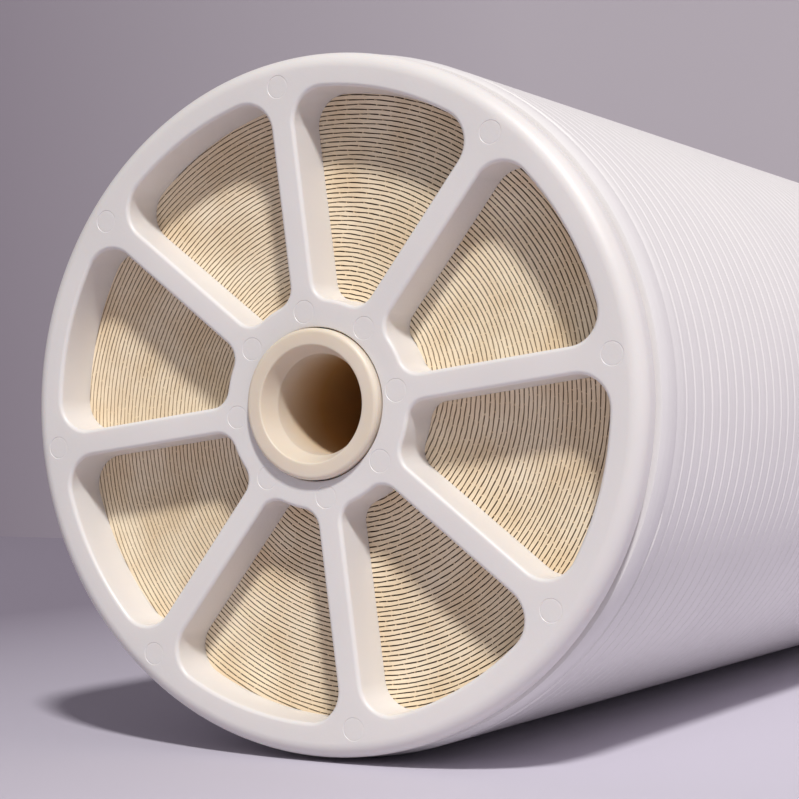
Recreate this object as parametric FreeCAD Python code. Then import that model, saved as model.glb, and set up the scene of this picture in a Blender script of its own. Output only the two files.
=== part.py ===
import FreeCAD, Part
import math
import os
from FreeCAD import Vector

# A spiral wound reverse osmosis element of the 8 inch size with a hard shell and flush ends.
# Millimetres. Z is the axis and points up; the origin is the centre of the face it stands on.

# Whole element
overall_length = 965.2          # from the standing face to the tip of the permeate tube

# Permeate tube, the perforated centre tube
tube_bore_radius = 14.3
tube_wall = 7.0
tube_proud = 2.5                # height of the tube's end above the top cap's face
tube_setback = 1.0              # how far the lower end stays clear of the standing face
tube_edge_bevel = 1.0           # bevel of the outer edge at each end
tube_mouth_flare = 2.1          # how much the bore widens to each end, in radius
tube_mouth_depth = 6.0          # length of that taper
hole_width = 4.0                # across two corners of the six sided holes
hole_rows = 2                   # rows of holes round the tube
hole_spacing = 400.0            # along a row
hole_end_margin = 60.0          # from each end of the roll to the nearest hole

# End caps, one moulding used at both ends
cap_depth = 13.9                # face to back, the depth of the spokes
flange_set_in = 1.35            # how much smaller the flange is than the shell, in radius
flange_thickness = 8.5          # the part of the cap that stays outside the shell
flange_edge_radius = 4.5        # the round of the flange's front edge, made in two flats
hub_wall = 8.1                  # the ring round the tube
hub_gap = 0.3                   # between the tube and the cap's bore
skirt_wall = 6.7                # from the windows to the outside of the skirt
spoke_count = 8
spoke_width = 7.6
window_outer_corner = 9.0
window_inner_corner = 6.0
window_edge_bevel = 1.2         # bevel of the window edges at the face

# Membrane roll
roll_radius = 95.8              # also the radius of the caps' skirts, which the wrap holds
leaf_pitch = 1.346              # one leaf: membrane, carrier and feed spacer together
leaves_per_ring = 5             # a ring on the end of the roll stands for so many leaves
channel_width = 0.9             # the steep side of a ring, across the radius
channel_depth = 1.2
relief_margin = 1.5             # how far the rings run in behind the cap's solid parts

# Inner wrap, the thin layer that holds the roll and both skirts
wrap_thickness = 1.2
wrap_end_gap = 0.9              # from the back of the flange to the wrap's cut edge

# Outer shell, wound glass fibre
shell_wall = 3.35
shell_end_gap = 2.4             # from the back of the flange to the shell
end_band_width = 10.1           # the plain rounded band before the windings start
end_band_drop = 1.5             # how far the band's end edge falls in
groove_width = 1.2
groove_depth = 0.7

# Levels and radii that follow
tube_radius = tube_bore_radius + tube_wall
top_face = overall_length - tube_proud
roll_bottom = cap_depth
roll_top = top_face - cap_depth
wrap_outer_radius = roll_radius + wrap_thickness
shell_radius = wrap_outer_radius + shell_wall
cap_radius = shell_radius - flange_set_in
cap_bore_radius = tube_radius + hub_gap
hub_radius = cap_bore_radius + hub_wall
window_radius = roll_radius - skirt_wall

tool_spare = 1.0                # how far a cutting tool runs past the faces that it cuts
AXIS_POINT = Vector(0, 0, 0)
UP = Vector(0, 0, 1)


def at(radius, height):
    """A point of a turned profile."""
    return Vector(radius, 0, height)


def line(start, end):
    return Part.LineSegment(start, end).toShape()


def arc(start, middle, end):
    return Part.Arc(start, middle, end).toShape()


def turned(corners):
    """The solid that a closed outline of corners makes round the axis."""
    return Part.Face(Part.makePolygon(corners)).revolve(AXIS_POINT, UP, 360)


def ring(inner_radius, outer_radius, bottom, top):
    corners = [
        at(inner_radius, bottom),
        at(outer_radius, bottom),
        at(outer_radius, top),
        at(inner_radius, top),
        at(inner_radius, bottom),
    ]
    return turned(corners)


def permeate_tube():
    bottom = tube_setback
    top = overall_length
    edge = tube_edge_bevel
    mouth_radius = tube_bore_radius + tube_mouth_flare
    corners = [
        at(mouth_radius, bottom),
        at(tube_radius - edge, bottom),
        at(tube_radius, bottom + edge),
        at(tube_radius, top - edge),
        at(tube_radius - edge, top),
        at(mouth_radius, top),
        at(tube_bore_radius, top - tube_mouth_depth),
        at(tube_bore_radius, bottom + tube_mouth_depth),
        at(mouth_radius, bottom),
    ]
    return turned(corners).cut(Part.Compound(tube_holes()))


def tube_holes():
    """Six sided holes through the wall; each row is set half a spacing from the next."""
    hexagon = [
        Vector(0, math.cos(math.pi * corner / 3), math.sin(math.pi * corner / 3)) * (hole_width / 2)
        for corner in range(7)
    ]
    reach = tube_radius + tool_spare
    drill = Part.Face(Part.makePolygon(hexagon)).extrude(Vector(reach, 0, 0))
    holes = []
    for row in range(hole_rows):
        height = roll_bottom + hole_end_margin + (row % 2) * hole_spacing / 2
        while height <= roll_top - hole_end_margin:
            hole = drill.copy()
            hole.rotate(AXIS_POINT, UP, row * 360 / hole_rows)
            hole.translate(UP * height)
            holes.append(hole)
            height += hole_spacing
    return holes


def rounded_corner(arc_radius, round_radius, inward):
    """The round between a spoke's side and an arc about the axis.

    The spoke's middle is the x axis and the window lies on its +y side. Gives the points on
    the side, halfway round and on the arc; inward is -1 inside the arc and 1 outside it.
    """
    side = spoke_width / 2
    centre_radius = arc_radius + inward * round_radius
    turn = math.asin((side + round_radius) / centre_radius)
    direction = Vector(math.cos(turn), math.sin(turn), 0)
    centre = direction * centre_radius
    on_side = Vector(centre.x, side, 0)
    on_arc = direction * arc_radius
    towards = (on_side - centre) + (on_arc - centre)
    middle = centre + towards.normalize() * round_radius
    return on_side, middle, on_arc


def window_outline():
    """The closed outline of the window beside the x axis, a little above the cap's face."""
    half_turn = math.pi / spoke_count
    middle = Vector(math.cos(half_turn), math.sin(half_turn), 0)
    lift = UP * tool_spare

    def across(point):
        """The same point on the other side of the window's middle line."""
        return middle * (2 * middle.dot(point)) - point

    outer_corner = rounded_corner(window_radius, window_outer_corner, -1)
    inner_corner = rounded_corner(hub_radius, window_inner_corner, 1)
    far_outer = [across(point) for point in outer_corner]
    far_inner = [across(point) for point in inner_corner]
    edges = [
        line(inner_corner[0] + lift, outer_corner[0] + lift),
        arc(*[point + lift for point in outer_corner]),
        arc(outer_corner[2] + lift, middle * window_radius + lift, far_outer[2] + lift),
        arc(*[point + lift for point in reversed(far_outer)]),
        line(far_outer[0] + lift, far_inner[0] + lift),
        arc(*[point + lift for point in far_inner]),
        arc(far_inner[2] + lift, middle * hub_radius + lift, inner_corner[2] + lift),
        arc(*[point + lift for point in reversed(inner_corner)]),
    ]
    return Part.Wire(edges)


def window_tool():
    """The space of one window, run a little past the face and the back."""
    return Part.Face(window_outline()).extrude(UP * -(cap_depth + 2 * tool_spare))


def end_cap():
    """The cap with its face at height zero, pointing up."""
    edge = flange_edge_radius
    edge_middle = edge * (1 - math.sqrt(0.5))
    corners = [
        at(cap_bore_radius, 0),
        at(cap_radius - edge, 0),
        at(cap_radius - edge_middle, -edge_middle),
        at(cap_radius, -edge),
        at(cap_radius, -flange_thickness),
        at(roll_radius, -flange_thickness),
        at(roll_radius, -cap_depth),
        at(cap_bore_radius, -cap_depth),
        at(cap_bore_radius, 0),
    ]
    cap = turned(corners)
    tool = window_tool()
    for index in range(spoke_count):
        window = tool.copy()
        window.rotate(AXIS_POINT, UP, index * 360 / spoke_count)
        cap = cap.cut(window)
    return cap.makeChamfer(window_edge_bevel, window_mouth_edges(cap))


def window_mouth_edges(cap):
    """The edges of the windows at the cap's face."""
    face = max(cap.Faces, key=lambda candidate: candidate.CenterOfMass.z)
    return [edge for wire in face.Wires if len(wire.Edges) > 1 for edge in wire.Edges]


def membrane_roll():
    """The wound leaves as one solid, with their open edges as rings on the top end."""
    ring_pitch = leaf_pitch * leaves_per_ring
    first = hub_radius - relief_margin
    rings = int((window_radius + relief_margin - first) / ring_pitch)
    points = [at(tube_radius, roll_bottom), at(roll_radius, roll_bottom), at(roll_radius, roll_top)]
    for index in range(rings, 0, -1):
        crest = first + index * ring_pitch
        points.append(at(crest, roll_top))
        points.append(at(crest - channel_width, roll_top - channel_depth))
    points.append(at(first, roll_top))
    points.append(at(tube_radius, roll_top))
    points.append(points[0])
    return turned(points)


def inner_wrap():
    reach = flange_thickness + wrap_end_gap
    return ring(roll_radius, wrap_outer_radius, reach, top_face - reach)


def end_band(end, inward):
    """The outline of the shell's end band, from its end edge to the first wound land."""
    return [
        at(shell_radius - end_band_drop, end),
        at(shell_radius, end + inward * end_band_width / 2),
        at(shell_radius - groove_depth, end + inward * end_band_width),
        at(shell_radius, end + inward * (end_band_width + groove_width / 2)),
    ]


def outer_shell():
    reach = flange_thickness + shell_end_gap
    bottom = reach
    top = top_face - reach
    corners = [at(wrap_outer_radius, bottom), at(wrap_outer_radius, top)]
    corners += end_band(top, -1)
    corners += reversed(end_band(bottom, 1))
    corners.append(corners[0])
    return turned(corners)


def placed_caps():
    top = end_cap()
    bottom = top.copy()
    bottom.rotate(AXIS_POINT, Vector(1, 0, 0), 180)
    top.translate(UP * top_face)
    return top, bottom


def main():
    top_end_cap, bottom_end_cap = placed_caps()
    nodes = {
        "permeate_tube": permeate_tube(),
        "top_end_cap": top_end_cap,
        "bottom_end_cap": bottom_end_cap,
        "membrane_roll": membrane_roll(),
        "inner_wrap": inner_wrap(),
        "outer_shell": outer_shell(),
    }
    os.makedirs("parts", exist_ok=True)
    for name, shape in nodes.items():
        shape.exportStep("parts/" + name + ".step")


main()
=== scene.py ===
"""The looks of a spiral wound reverse osmosis element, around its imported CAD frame.

Shapes are worked out in millimetres and turned into metres when a mesh is made. The element stands
on z = 0 with its axis on z. It is photographed lying down, so the surface that it lies on in that
view is a wall beside it here, and the floor that it stands on is that view's backdrop.
"""

import cmath
import math
import random

import bmesh
import bpy
from mathutils import Matrix, Vector
from mathutils.geometry import delaunay_2d_cdt


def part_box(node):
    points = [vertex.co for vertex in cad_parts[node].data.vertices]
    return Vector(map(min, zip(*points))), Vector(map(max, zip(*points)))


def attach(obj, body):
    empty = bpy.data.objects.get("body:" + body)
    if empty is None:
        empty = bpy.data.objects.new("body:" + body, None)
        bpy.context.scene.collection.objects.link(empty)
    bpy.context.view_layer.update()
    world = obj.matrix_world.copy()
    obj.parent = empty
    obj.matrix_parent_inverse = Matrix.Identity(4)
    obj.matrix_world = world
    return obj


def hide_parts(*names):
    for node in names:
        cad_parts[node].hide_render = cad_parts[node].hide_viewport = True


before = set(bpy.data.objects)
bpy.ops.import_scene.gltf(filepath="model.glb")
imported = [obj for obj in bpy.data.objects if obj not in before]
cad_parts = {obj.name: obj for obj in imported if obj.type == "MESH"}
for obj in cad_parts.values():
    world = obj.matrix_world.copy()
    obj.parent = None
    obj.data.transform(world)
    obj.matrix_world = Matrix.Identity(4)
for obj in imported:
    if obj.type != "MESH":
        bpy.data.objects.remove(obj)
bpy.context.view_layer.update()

MM = 0.001
MERGE_DISTANCE = 0.002
SHARP_ANGLE = math.radians(32)

# How finely the turned pieces and a cap's eighth are divided
TUBE_COLUMNS = 128
ROLL_COLUMNS = 240
WRAP_COLUMNS = 360
SHELL_COLUMNS = 120
RIM_STEPS = 32
BORE_STEPS = 12


def top_of(node):
    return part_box(node)[1].z / MM


def bottom_of(node):
    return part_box(node)[0].z / MM


def radius_of(node):
    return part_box(node)[1].x / MM


# Sizes that the frame gives, in millimetres
TOP_FACE = top_of("top_end_cap")
CAP_DEPTH = TOP_FACE - bottom_of("top_end_cap")
CAP_RADIUS = radius_of("top_end_cap")
ROLL_RADIUS = radius_of("membrane_roll")
ROLL_TOP = top_of("membrane_roll")
ROLL_BOTTOM = bottom_of("membrane_roll")
WRAP_RADIUS = radius_of("inner_wrap")
WRAP_TOP = top_of("inner_wrap")
WRAP_BOTTOM = bottom_of("inner_wrap")
SHELL_RADIUS = radius_of("outer_shell")
SHELL_TOP = top_of("outer_shell")
SHELL_BOTTOM = bottom_of("outer_shell")
TUBE_RADIUS = radius_of("permeate_tube")
TUBE_TOP = top_of("permeate_tube")
TUBE_BOTTOM = bottom_of("permeate_tube")

# End caps
SPOKES = 8
SPOKE_WIDTH = 7.6
HUB_GAP = 0.3
BORE_EDGE = 0.5
HUB_RADIUS = 29.7
WINDOW_RADIUS = 89.1
OUTER_CORNER = 9.0
INNER_CORNER = 6.0
WINDOW_FILLET = 1.2
WINDOW_DRAFT = 0.2
FLANGE_THICKNESS = 8.5
FLANGE_ROUND = 4.5
PARTING_DEPTH = 5.1
MARK_RADIUS = 3.2
MARK_CENTRES = (26.2, 90.9)
MARK_RINGS = ((0.15, 0.0), (0.0, -0.12), (-0.2, -0.05))  # (beyond the mark's radius, height)

# Permeate tube
BORE_RADIUS = 14.3
MOUTH_FLARE = 2.1
MOUTH_DEPTH = 6.0
TUBE_OUTER_ROUND = 1.3
TUBE_LIP_ROUND = 0.6

# Membrane roll
LEAVES = 19
LEAF_PITCH = 1.346
ROLL_SHIFT = Vector((-2.7, 2.6))
SHEET_INNER = HUB_RADIUS - 1.5
SHEET_OUTER = WINDOW_RADIUS + 1.5
LEAD = LEAVES * LEAF_PITCH
CHANNEL = ((0.0, 0.0), (0.73, 0.0), (0.76, -1.6), (0.97, -1.6))  # (share of a leaf, height)
CHANNEL_MIDDLE = (CHANNEL[1][0] + 1) / 2
CHANNEL_SHADE_FADE = (0.105, 0.14)  # the painted shade of a channel fades out so far from its middle, in leaves
WAVES = ((0.25, 3, 1 / 9, 0), (0.14, 11, -1 / 4, 1), (0.07, 37, 1.7, 0))  # see wave

# Spacer net, of which the strands' ends show
STRAND_SPACING = (2.4, 7.0)
STRAND_HALF_LENGTH = (0.1, 0.28)
STRAND_TOP = (0.1, 0.35)
STRAND_FOOT = 1.5
STRAND_OVERLAP = 0.03

# Outer shell
WINDING_PITCH = 6.53
BAND_WIDTH = 10.1
END_BAND = (  # (radius, distance from the shell's end)
    (WRAP_RADIUS, 0.0),
    (WRAP_RADIUS + 0.9, 0.0),
    (SHELL_RADIUS - 1.1, 0.5),
    (SHELL_RADIUS - 0.45, 2.0),
    (SHELL_RADIUS - 0.08, 4.2),
    (SHELL_RADIUS, 6.0),
    (SHELL_RADIUS - 0.1, 8.0),
    (SHELL_RADIUS - 0.3, BAND_WIDTH - 0.7),
)
GROOVE = ((0.0, -0.45), (0.07, -0.05), (0.35, 0.0), (0.65, 0.0), (0.93, -0.05))
FIRST_GROOVE_TURN = 132 / 360

# Inner wrap
WRAP_ROUGHNESS = 0.5


# Making meshes

def turn(angle):
    """A point at radius one, as a complex number."""
    return cmath.rect(1, angle)


def steps(start, end, count):
    """Count + 1 even steps from start to end."""
    return [start + (end - start) * index / count for index in range(count + 1)]


def arc_points(centre, radius, start, end, count):
    return [centre + radius * turn(angle) for angle in steps(start, end, count)]


def piece_from_bmesh(name, mesh_data):
    bmesh.ops.remove_doubles(mesh_data, verts=mesh_data.verts, dist=MERGE_DISTANCE)
    bmesh.ops.dissolve_degenerate(mesh_data, edges=mesh_data.edges, dist=MERGE_DISTANCE / 4)
    bmesh.ops.recalc_face_normals(mesh_data, faces=mesh_data.faces)
    bmesh.ops.scale(mesh_data, vec=Vector((MM, MM, MM)), verts=mesh_data.verts)
    mesh = bpy.data.meshes.new(name)
    mesh_data.to_mesh(mesh)
    mesh_data.free()
    mesh.shade_smooth()
    mesh.set_sharp_from_angle(angle=SHARP_ANGLE)
    piece = bpy.data.objects.new(name, mesh)
    bpy.context.scene.collection.objects.link(piece)
    weighted = piece.modifiers.new("weighted normals", "WEIGHTED_NORMAL")
    weighted.keep_sharp = True
    return piece


def turned_piece(name, columns, outline, coordinates=None):
    """A body turned round the axis.

    outline(angle) gives the closed outline at that angle as (radius, height) points, as many at
    each angle. coordinates(angle) gives each point's place on the material, for its UV map.
    """
    verts, places, faces = [], [], []
    angles = steps(0, math.tau, columns)
    for angle in angles:
        points = outline(angle)
        verts += [(r * math.cos(angle), r * math.sin(angle), z) for r, z in points]
        if coordinates:
            places += coordinates(angle)
    rows = len(points)
    for column in range(columns):
        for row in range(rows):
            after = (row + 1) % rows
            first = column * rows
            faces.append((first + row, first + after, first + rows + after, first + rows + row))
    mesh = bpy.data.meshes.new(name)
    mesh.from_pydata(verts, [], faces)
    if coordinates:
        layer = mesh.uv_layers.new(name="UVMap")
        for loop in mesh.loops:
            layer.data[loop.index].uv = places[loop.vertex_index]
    mesh_data = bmesh.new()
    mesh_data.from_mesh(mesh)
    bpy.data.meshes.remove(mesh)
    return piece_from_bmesh(name, mesh_data)


def fit(piece, node, material):
    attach(piece, "root")
    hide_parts(node)
    piece.data.materials.append(material)


# Materials

def linear(*srgb):
    """A colour given in 0-255 sRGB, as the shader wants it."""
    channels = [value / 255 for value in srgb]
    return [v / 12.92 if v <= 0.04045 else ((v + 0.055) / 1.055) ** 2.4 for v in channels] + [1.0]


def add(tree, kind, inputs=(), **settings):
    """A node with its settings; a socket given as an input is linked to it."""
    made = tree.nodes.new(kind)
    for name, value in settings.items():
        setattr(made, name, value)
    for key, value in dict(inputs).items():
        if isinstance(value, bpy.types.NodeSocket):
            tree.links.new(value, made.inputs[key])
        else:
            made.inputs[key].default_value = value
    return made


def new_material(name):
    material = bpy.data.materials.new(name)
    material.use_nodes = True
    tree = material.node_tree
    return material, tree, tree.nodes["Principled BSDF"]


def place_of(tree):
    return add(tree, "ShaderNodeTexCoord").outputs["Object"]


def noise(tree, place, scale, detail=3.0, stretch=(1, 1, 1)):
    moved = add(tree, "ShaderNodeMapping", {"Vector": place, "Scale": stretch})
    texture = add(
        tree,
        "ShaderNodeTexNoise",
        {"Vector": moved.outputs["Vector"], "Scale": scale, "Detail": detail},
    )
    return texture.outputs["Fac"]


def between(tree, factor, low, high, start=0.35, end=0.65):
    """A value that runs from low to high as the factor runs from start to end."""
    inputs = {"Value": factor, "From Min": start, "From Max": end, "To Min": low, "To Max": high}
    return add(tree, "ShaderNodeMapRange", inputs).outputs["Result"]


def calculated(tree, operation, *values):
    return add(tree, "ShaderNodeMath", dict(enumerate(values)), operation=operation).outputs[0]


def blend_colours(tree, factor, first, second):
    mix = add(tree, "ShaderNodeMix", data_type="RGBA")
    for socket, value in ((mix.inputs[0], factor), (mix.inputs[6], first), (mix.inputs[7], second)):
        if isinstance(value, bpy.types.NodeSocket):
            tree.links.new(value, socket)
        else:
            socket.default_value = value
    return mix.outputs[2]


def clouded(tree, clouds, first, second):
    """A colour that drifts from first to second with a noise."""
    return blend_colours(tree, between(tree, clouds, 0, 1), first, second)


def bump(tree, height, distance, strength=1.0):
    inputs = {"Height": height, "Distance": distance, "Strength": strength}
    return add(tree, "ShaderNodeBump", inputs).outputs["Normal"]


def glow_within(shader, weight, radius, scale):
    """Light that spreads a little inside a plastic."""
    shader.inputs["Subsurface Weight"].default_value = weight
    shader.inputs["Subsurface Radius"].default_value = radius
    shader.inputs["Subsurface Scale"].default_value = scale


def cap_plastic():
    material, tree, shader = new_material("cap_plastic")
    place = place_of(tree)
    clouds = noise(tree, place, 18)
    grain = noise(tree, place, 900, detail=2)
    colour = clouded(tree, clouds, linear(225, 221, 219), linear(230, 226, 224))
    tree.links.new(colour, shader.inputs["Base Color"])
    tree.links.new(between(tree, clouds, 0.36, 0.46), shader.inputs["Roughness"])
    glow_within(shader, 0.2, (1.0, 0.75, 0.55), 0.006)
    tree.links.new(bump(tree, grain, 0.00006, 0.5), shader.inputs["Normal"])
    return material


def tube_plastic():
    material, tree, shader = new_material("tube_plastic")
    place = place_of(tree)
    clouds = noise(tree, place, 30)
    streaks = noise(tree, place, 500, stretch=(1, 1, 0.05))
    skin = clouded(tree, clouds, linear(230, 218, 203), linear(221, 207, 188))
    # Painted shade: deeper in the bore the wall is painted a darker orange, for the dim warm light
    # that reaches there.
    height = add(tree, "ShaderNodeSeparateXYZ", {"Vector": place}).outputs["Z"]
    below = calculated(tree, "SUBTRACT", TUBE_TOP * MM, height)
    painted_bore_shade = between(tree, below, 0, 1, MOUTH_DEPTH * MM, MOUTH_DEPTH * 5 * MM)
    colour = blend_colours(tree, painted_bore_shade, skin, linear(218, 176, 116))
    glow_within(shader, 0.3, (1.0, 0.7, 0.4), 0.006)
    tree.links.new(colour, shader.inputs["Base Color"])
    tree.links.new(between(tree, clouds, 0.38, 0.5), shader.inputs["Roughness"])
    tree.links.new(bump(tree, streaks, 0.0001, 0.4), shader.inputs["Normal"])
    return material


def membrane_material():
    material, tree, shader = new_material("membrane")
    place = place_of(tree)
    uv = add(tree, "ShaderNodeTexCoord").outputs["UV"]
    parts = add(tree, "ShaderNodeSeparateXYZ", {"Vector": uv})
    leaf = calculated(tree, "FRACT", parts.outputs["Y"])
    clouds = noise(tree, place, 60)
    flecks = noise(tree, place, 700)
    cream = clouded(tree, clouds, linear(246, 230, 202), linear(232, 210, 176))
    # Painted shade: the channels between the leaves are painted dark brown, for the shade down in
    # them.
    painted_channel_shade = clouded(tree, flecks, linear(84, 52, 24), linear(120, 84, 50))
    aside = calculated(tree, "ABSOLUTE", calculated(tree, "SUBTRACT", leaf, CHANNEL_MIDDLE))
    colour = blend_colours(tree, between(tree, aside, 1, 0, *CHANNEL_SHADE_FADE), cream, painted_channel_shade)
    tree.links.new(colour, shader.inputs["Base Color"])
    shader.inputs["Roughness"].default_value = 0.75
    tree.links.new(bump(tree, flecks, 0.0002, 0.6), shader.inputs["Normal"])
    return material


def strand_material():
    material, tree, shader = new_material("spacer_net")
    clouds = noise(tree, place_of(tree), 400)
    colour = clouded(tree, clouds, linear(240, 224, 196), linear(210, 184, 146))
    tree.links.new(colour, shader.inputs["Base Color"])
    shader.inputs["Roughness"].default_value = 0.6
    return material


def wrap_material():
    material, tree, shader = new_material("wrap_film")
    place = place_of(tree)
    clouds = noise(tree, place, 120)
    colour = clouded(tree, clouds, linear(214, 196, 164), linear(186, 164, 130))
    tree.links.new(colour, shader.inputs["Base Color"])
    shader.inputs["Roughness"].default_value = 0.6
    tree.links.new(bump(tree, clouds, 0.0003), shader.inputs["Normal"])
    return material


def shell_material():
    material, tree, shader = new_material("glass_fibre")
    place = place_of(tree)
    clouds = noise(tree, place, 12)
    fibres = noise(tree, place, 40, detail=4, stretch=(1, 1, 20))
    colour = clouded(tree, clouds, linear(234, 231, 230), linear(227, 224, 224))
    tree.links.new(colour, shader.inputs["Base Color"])
    tree.links.new(between(tree, clouds, 0.3, 0.4), shader.inputs["Roughness"])
    tree.links.new(bump(tree, fibres, 0.0003, 0.4), shader.inputs["Normal"])
    return material


# End caps: one eighth, centred on a spoke, copied round

def rounded_corner(arc_radius, round_radius, inward, side, count):
    """The round between a spoke's side and an arc about the axis, from the side to the arc."""
    centre_radius = arc_radius + inward * round_radius
    angle = math.asin((side + round_radius) / centre_radius)
    end = angle if inward < 0 else angle - math.pi
    return arc_points(centre_radius * turn(angle), round_radius, -math.pi / 2, end, count)


def half_window(offset):
    """Half of a window's outline, drawn in by offset, from the hub's side to the rim's side."""
    side = SPOKE_WIDTH / 2 + offset
    middle = math.pi / SPOKES
    inner = rounded_corner(HUB_RADIUS + offset, INNER_CORNER - offset, 1, side, 10)
    outer = rounded_corner(WINDOW_RADIUS - offset, OUTER_CORNER - offset, -1, side, 14)
    inner_arc = arc_points(0, HUB_RADIUS + offset, middle, cmath.phase(inner[-1]), 6)
    outer_arc = arc_points(0, WINDOW_RADIUS - offset, cmath.phase(outer[-1]), middle, 12)
    return inner_arc[:-1] + inner[::-1] + outer + outer_arc[1:]


def add_strip(mesh_data, lines):
    """Faces between neighbouring lines of (x, y, z) points."""
    made = [[mesh_data.verts.new(point) for point in points] for points in lines]
    for first, second in zip(made, made[1:]):
        for index in range(len(first) - 1):
            mesh_data.faces.new((first[index], first[index + 1], second[index + 1], second[index]))


def lifted(points, height):
    return [(point.real, point.imag, height) for point in points]


def add_flat(mesh_data, boundary, height, marks=()):
    """A flat face inside a boundary, with a shallow ring pressed in at each mark."""
    loops = [(boundary, 0.0)]
    for mark in marks:
        for beyond, depth in MARK_RINGS:
            ring = arc_points(mark, MARK_RADIUS + beyond, 0, math.tau, 28)
            loops.append((ring[:-1], depth))
    points, heights, edges = [], [], []
    for loop, depth in loops:
        first = len(points)
        points += [Vector((point.real, point.imag)) for point in loop]
        heights += [height + depth] * len(loop)
        edges += [(first + i, first + (i + 1) % len(loop)) for i in range(len(loop))]
    made, _, faces, sources, *_ = delaunay_2d_cdt(points, edges, [], 1, 1e-5)
    verts = [
        mesh_data.verts.new((point.x, point.y, heights[source[0]]))
        for point, source in zip(made, sources)
    ]
    for face in faces:
        mesh_data.faces.new([verts[index] for index in face])


def cap_levels():
    """(offset, height) of a window's wall from the face to the back."""
    levels = []
    for angle in steps(0, math.pi / 2, 5):
        rise = WINDOW_FILLET * (1 - math.cos(angle))
        levels.append((-WINDOW_FILLET * (1 - math.sin(angle)), -rise))
    return levels + [(WINDOW_DRAFT, -CAP_DEPTH)]


def flange_outline():
    """(radius, height) from the face round the flange and the skirt to the back."""
    points = [
        (CAP_RADIUS - FLANGE_ROUND * (1 - math.sin(a)), -FLANGE_ROUND * (1 - math.cos(a)))
        for a in steps(0, math.pi / 2, 8)
    ]
    points += [
        (CAP_RADIUS, -PARTING_DEPTH + 0.15),
        (CAP_RADIUS - 0.25, -PARTING_DEPTH),
        (CAP_RADIUS - 0.12, -PARTING_DEPTH - 0.2),
        (CAP_RADIUS - 0.12, -FLANGE_THICKNESS + 0.5),
        (CAP_RADIUS - 0.6, -FLANGE_THICKNESS),
        (ROLL_RADIUS, -FLANGE_THICKNESS),
        (ROLL_RADIUS, -CAP_DEPTH),
    ]
    return points


def cap_eighth(mesh_data):
    half = math.pi / SPOKES
    bore = TUBE_RADIUS + HUB_GAP
    edge = BORE_EDGE
    levels = cap_levels()
    rim_angles = steps(-half, half, RIM_STEPS)
    bore_angles = steps(-half, half, BORE_STEPS)

    def face_boundary(inner_radius, outer_radius, offset):
        window = half_window(offset)
        inner = [inner_radius * turn(angle) for angle in bore_angles]
        outer = [outer_radius * turn(angle) for angle in rim_angles]
        mirrored = [point.conjugate() for point in window]
        return inner + window + outer[::-1] + mirrored[::-1]

    front = face_boundary(bore + edge, CAP_RADIUS - FLANGE_ROUND, -WINDOW_FILLET)
    back = face_boundary(bore, ROLL_RADIUS, WINDOW_DRAFT)
    add_flat(mesh_data, front, 0, MARK_CENTRES)
    add_flat(mesh_data, back, -CAP_DEPTH)
    walls = [lifted(half_window(offset), height) for offset, height in levels]
    add_strip(mesh_data, walls)
    add_strip(mesh_data, [[(x, -y, z) for x, y, z in wall] for wall in walls])
    rim = [
        lifted([radius * turn(angle) for angle in rim_angles], height)
        for radius, height in flange_outline()
    ]
    add_strip(mesh_data, rim)
    bore_line = [
        (bore + edge, 0),
        (bore + edge * 0.3, -edge * 0.3),
        (bore, -edge),
        (bore, -CAP_DEPTH),
    ]
    inside = [
        lifted([radius * turn(angle) for angle in bore_angles], height)
        for radius, height in bore_line
    ]
    add_strip(mesh_data, inside)


def end_cap(name, flipped):
    mesh_data = bmesh.new()
    cap_eighth(mesh_data)
    eighth = mesh_data.verts[:] + mesh_data.edges[:] + mesh_data.faces[:]
    for index in range(1, SPOKES):
        copy = bmesh.ops.duplicate(mesh_data, geom=eighth)["geom"]
        verts = [item for item in copy if isinstance(item, bmesh.types.BMVert)]
        turned = Matrix.Rotation(index * math.tau / SPOKES, 3, "Z")
        bmesh.ops.rotate(mesh_data, cent=(0, 0, 0), matrix=turned, verts=verts)
    if flipped:
        over = Matrix.Rotation(math.pi, 3, "X")
        bmesh.ops.rotate(mesh_data, cent=(0, 0, 0), matrix=over, verts=mesh_data.verts)
    else:
        bmesh.ops.translate(mesh_data, vec=(0, 0, TOP_FACE), verts=mesh_data.verts)
    return piece_from_bmesh(name, mesh_data)


# Permeate tube

def tube_end(tip, inward):
    """(radius, height) over one end, from the outside to the bore."""
    mouth = BORE_RADIUS + MOUTH_FLARE
    points = [
        (
            TUBE_RADIUS - TUBE_OUTER_ROUND * (1 - math.cos(a)),
            tip + inward * TUBE_OUTER_ROUND * (1 - math.sin(a)),
        )
        for a in steps(0, math.pi / 2, 6)
    ]
    points += [
        (
            mouth + TUBE_LIP_ROUND * (1 - math.sin(a)),
            tip + inward * TUBE_LIP_ROUND * (1 - math.cos(a)),
        )
        for a in steps(0, math.pi * 0.4, 4)
    ]
    points += [
        (BORE_RADIUS + 0.12, tip + inward * (MOUTH_DEPTH - 0.4)),
        (BORE_RADIUS, tip + inward * (MOUTH_DEPTH + 0.4)),
    ]
    return points


def permeate_tube():
    outline = tube_end(TUBE_TOP, -1) + tube_end(TUBE_BOTTOM, 1)[::-1]
    return turned_piece("centre_tube", TUBE_COLUMNS, lambda angle: outline)


# Membrane roll

def wave(angle, radius):
    """How far the leaves stray from a true spiral."""
    reach = min(max((radius - TUBE_RADIUS) / 35, 0), 1)
    off_centre = reach * (ROLL_SHIFT.x * math.cos(angle) + ROLL_SHIFT.y * math.sin(angle))
    return off_centre + sum(
        size * math.sin(turns * angle + radius * drift + shift)
        for size, turns, drift, shift in WAVES
    )


def sheet_rows():
    """(leaf number with its fraction, depth) of every line of the sheet at angle zero."""
    first = -LEAVES - 1
    last = int((SHEET_OUTER - SHEET_INNER) / LEAF_PITCH) + 2
    return [(leaf + part, depth) for leaf in range(first, last) for part, depth in CHANNEL]


SHEET_ROWS = sheet_rows()


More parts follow.
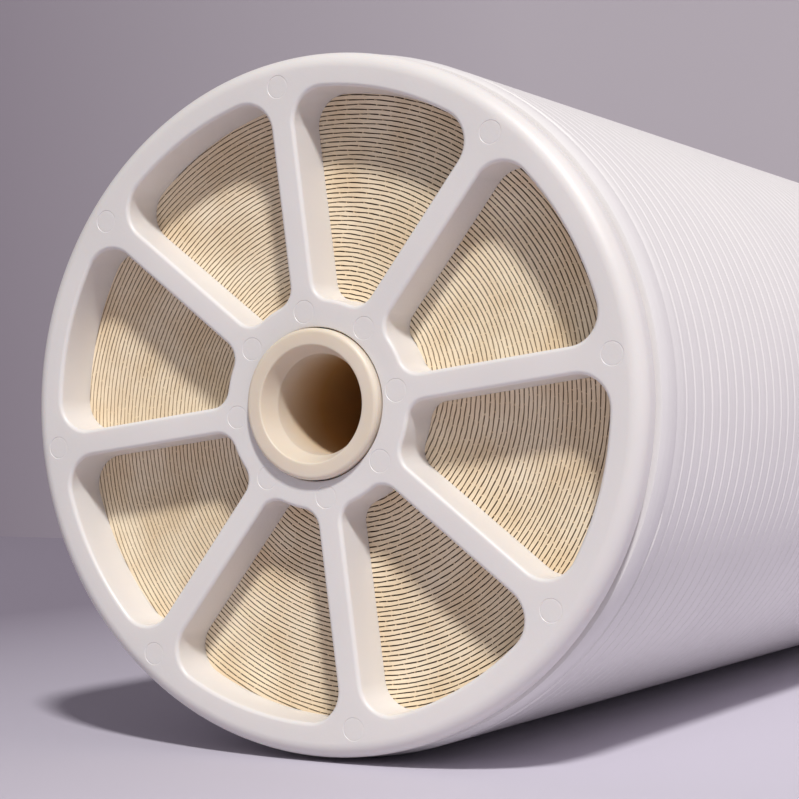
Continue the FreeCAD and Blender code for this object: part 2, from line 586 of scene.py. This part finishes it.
def line_radius(leaf, angle):
    """The radius of a line of the sheet; leaf is its number at angle zero, with its fraction."""
    true_radius = SHEET_INNER + (leaf + LEAVES * angle / math.tau) * LEAF_PITCH
    return true_radius + wave(angle, true_radius)


def roll_outline(angle):
    top = []
    for leaf, depth in SHEET_ROWS:
        radius = line_radius(leaf, angle)
        clipped = min(max(radius, SHEET_INNER), SHEET_OUTER)
        top.append((clipped, depth if clipped == radius else 0.0))
    ends = [(TUBE_RADIUS, 0), (SHEET_INNER, 0)] + top + [(SHEET_OUTER, 0), (ROLL_RADIUS, 0)]
    upper = [(radius, ROLL_TOP + depth) for radius, depth in ends]
    lower = [(radius, ROLL_BOTTOM - depth) for radius, depth in ends]
    return upper + lower[::-1]


def roll_coordinates(angle):
    sheet = [
        ((SHEET_INNER + leaf * LEAF_PITCH + LEAD * angle / math.tau) * angle / 10, leaf)
        for leaf, _ in SHEET_ROWS
    ]
    plain = (0.0, 0.3)
    ends = [plain, plain] + sheet + [plain, plain]
    return ends + ends[::-1]


def spacer_strands():
    """The ends of the spacer net's strands, which break each channel into dashes."""
    draw = random.Random(11)
    verts, faces = [], []
    corners = ((-1, -1), (1, -1), (1, 1), (-1, 1))
    box = ((0, 1, 2, 3), (0, 4, 5, 1), (1, 5, 6, 2), (2, 6, 7, 3), (3, 7, 4, 0), (4, 7, 6, 5))
    half_width = (1 - CHANNEL[1][0]) / 2 * LEAF_PITCH + STRAND_OVERLAP
    first, last = -LEAVES - 4, int((SHEET_OUTER - SHEET_INNER) / LEAF_PITCH) + 5
    for upward in (1, -1):
        level = ROLL_TOP if upward > 0 else ROLL_BOTTOM
        for leaf in range(first, last):
            angle = 0.0
            while angle < math.tau:
                radius = line_radius(leaf + CHANNEL_MIDDLE, angle)
                angle += draw.uniform(*STRAND_SPACING) / max(radius, SHEET_INNER)
                half_length = draw.uniform(*STRAND_HALF_LENGTH)
                top = draw.uniform(*STRAND_TOP)
                radius = line_radius(leaf + CHANNEL_MIDDLE, angle)
                if not (angle < math.tau and HUB_RADIUS - 1 < radius < WINDOW_RADIUS + 1):
                    continue
                first_vert = len(verts)
                for depth in (top, STRAND_FOOT):
                    for across, along in corners:
                        corner = complex(radius + across * half_width, along * half_length)
                        at = corner * turn(angle)
                        verts.append((at.real, at.imag, level - upward * depth))
                faces += [[first_vert + index for index in face] for face in box]
    mesh = bpy.data.meshes.new("spacer_strands")
    mesh.from_pydata(verts, [], faces)
    mesh_data = bmesh.new()
    mesh_data.from_mesh(mesh)
    bpy.data.meshes.remove(mesh)
    return piece_from_bmesh("spacer_strands", mesh_data)


# Outer shell and inner wrap

def shell_outline(angle):
    """The end bands with the wound grooves between them, which climb one pitch to a turn."""
    first = SHELL_BOTTOM + BAND_WIDTH
    last = SHELL_TOP - BAND_WIDTH
    start = angle / math.tau - FIRST_GROOVE_TURN
    count = int((last - first) / WINDING_PITCH) + 3
    rows = []
    for winding in range(-2, count):
        for part, drop in GROOVE:
            height = first + (winding + part + start) * WINDING_PITCH
            clipped = min(max(height, first), last)
            rows.append((SHELL_RADIUS + (drop if clipped == height else GROOVE[0][1]), clipped))
    lower = [(radius, SHELL_BOTTOM + height) for radius, height in END_BAND]
    upper = [(radius, SHELL_TOP - height) for radius, height in END_BAND]
    return lower + rows + upper[::-1]


def wrap_outline(angle, rough):
    """The wrap's section; rough holds how far each column's two ends fall short."""
    low, high = rough[round(angle / math.tau * (len(rough) - 1)) % (len(rough) - 1)]
    return [
        (ROLL_RADIUS, WRAP_BOTTOM + low),
        (WRAP_RADIUS, WRAP_BOTTOM + low),
        (WRAP_RADIUS, WRAP_TOP - high),
        (ROLL_RADIUS, WRAP_TOP - high),
    ]


def inner_wrap():
    draw = random.Random(7)
    rough = [
        (draw.uniform(0, WRAP_ROUGHNESS), draw.uniform(0, WRAP_ROUGHNESS))
        for _ in range(WRAP_COLUMNS + 1)
    ]
    return turned_piece("wrap_layer", WRAP_COLUMNS, lambda angle: wrap_outline(angle, rough))


# Stage, lights and camera

def plane(name, centre, normal, size, material):
    across = normal.orthogonal().normalized()
    along = normal.cross(across)
    signs = ((-1, -1), (1, -1), (1, 1), (-1, 1))
    corners = [centre + (across * a + along * b) * size for a, b in signs]
    mesh = bpy.data.meshes.new(name)
    mesh.from_pydata(corners, [], [(0, 1, 2, 3)])
    mesh.materials.append(material)
    made = bpy.data.objects.new(name, mesh)
    bpy.context.scene.collection.objects.link(made)
    if (mesh.polygons[0].normal - normal).length > 1:
        mesh.flip_normals()
    return made


def stage_material(name, colour_of):
    """A matt surface that is seen from its front only."""
    material, tree, shader = new_material(name)
    tree.links.new(colour_of(tree), shader.inputs["Base Color"])
    shader.inputs["Roughness"].default_value = 0.9
    shader.inputs["Specular IOR Level"].default_value = 0.1
    clear = add(tree, "ShaderNodeBsdfTransparent")
    behind = add(tree, "ShaderNodeNewGeometry").outputs["Backfacing"]
    mix = add(tree, "ShaderNodeMixShader", {0: behind, 1: shader.outputs[0], 2: clear.outputs[0]})
    output = tree.nodes["Material Output"]
    tree.links.new(mix.outputs[0], output.inputs["Surface"])
    return material


REST_DIRECTION = Vector((0.13813, 0.99041, 0)).normalized()
CAMERA_PLACE = Vector((-0.2986, 0.0499, 1.4618))
CAMERA_RIGHT = Vector((-0.86708, 0.12093, -0.48328))
CAMERA_UP = Vector((-0.14587, -0.98920, 0.01421))
LENS = 93.86
TOWARDS_KEY = Vector((-0.485, -0.717, 0.505))
KEY_STRENGTH = 2.95
KEY_ANGLE = math.radians(6)
KEY_COLOUR = (1.0, 0.985, 0.96)
WORLD_STRENGTH = 0.29
WORLD_COLOUR = (0.93, 0.90, 0.92, 1)
STAGE_SIZE = 5


def painted_falloff_along_x(tree, start, end, near, far):
    """A colour that goes from near to far as x goes from start to end, in metres; the stage uses it
    for painted falloff of light.
    """
    parts = add(tree, "ShaderNodeSeparateXYZ", {"Vector": place_of(tree)})
    return blend_colours(tree, between(tree, parts.outputs["X"], 0, 1, start, end), near, far)


def rest_surface_colour(tree):
    # Painted light falloff: the rest surface is painted darker towards +x, away from the element.
    return painted_falloff_along_x(tree, -0.04, 0.4, linear(203, 198, 211), linear(128, 121, 134))


def floor_colour(tree):
    # Painted light falloff: the floor is painted darker towards +x, where less light falls.
    return painted_falloff_along_x(tree, 0.35, 0.95, linear(195, 188, 196), linear(150, 141, 153))


def stage():
    rest = stage_material("rest_surface", rest_surface_colour)
    floor = stage_material("floor", floor_colour)
    beside = REST_DIRECTION * SHELL_RADIUS * MM
    plane("rest_surface", beside, -REST_DIRECTION, STAGE_SIZE, rest)
    plane("floor", Vector((0, 0, 0)), Vector((0, 0, 1)), STAGE_SIZE, floor)


def lights():
    sun = bpy.data.lights.new("key", "SUN")
    sun.energy = KEY_STRENGTH
    sun.angle = KEY_ANGLE
    sun.color = KEY_COLOUR
    key = bpy.data.objects.new("key", sun)
    key.rotation_euler = TOWARDS_KEY.to_track_quat("Z", "Y").to_euler()
    bpy.context.scene.collection.objects.link(key)
    world = bpy.data.worlds.new("world")
    world.use_nodes = True
    tree = world.node_tree
    background = tree.nodes["Background"]
    background.inputs["Color"].default_value = WORLD_COLOUR
    background.inputs["Strength"].default_value = WORLD_STRENGTH
    bpy.context.scene.world = world


def camera():
    data = bpy.data.cameras.new("camera")
    data.lens = LENS
    data.sensor_width = 36
    data.clip_end = 30
    made = bpy.data.objects.new("camera", data)
    back = CAMERA_RIGHT.cross(CAMERA_UP)
    columns = (CAMERA_RIGHT, CAMERA_UP, back, CAMERA_PLACE)
    matrix = Matrix([[column[row] for column in columns] for row in range(3)] + [[0, 0, 0, 1]])
    made.matrix_world = matrix
    bpy.context.scene.collection.objects.link(made)
    bpy.context.scene.camera = made


cap_finish = cap_plastic()
fit(end_cap("top_cap_moulding", False), "top_end_cap", cap_finish)
fit(end_cap("bottom_cap_moulding", True), "bottom_end_cap", cap_finish)
fit(permeate_tube(), "permeate_tube", tube_plastic())
roll = turned_piece("wound_leaves", ROLL_COLUMNS, roll_outline, roll_coordinates)
fit(roll, "membrane_roll", membrane_material())
fit(spacer_strands(), "membrane_roll", strand_material())
fit(inner_wrap(), "inner_wrap", wrap_material())
shell = turned_piece("wound_shell", SHELL_COLUMNS, shell_outline)
fit(shell, "outer_shell", shell_material())
stage()
lights()
camera()
bpy.context.scene.view_settings.view_transform = "Standard"
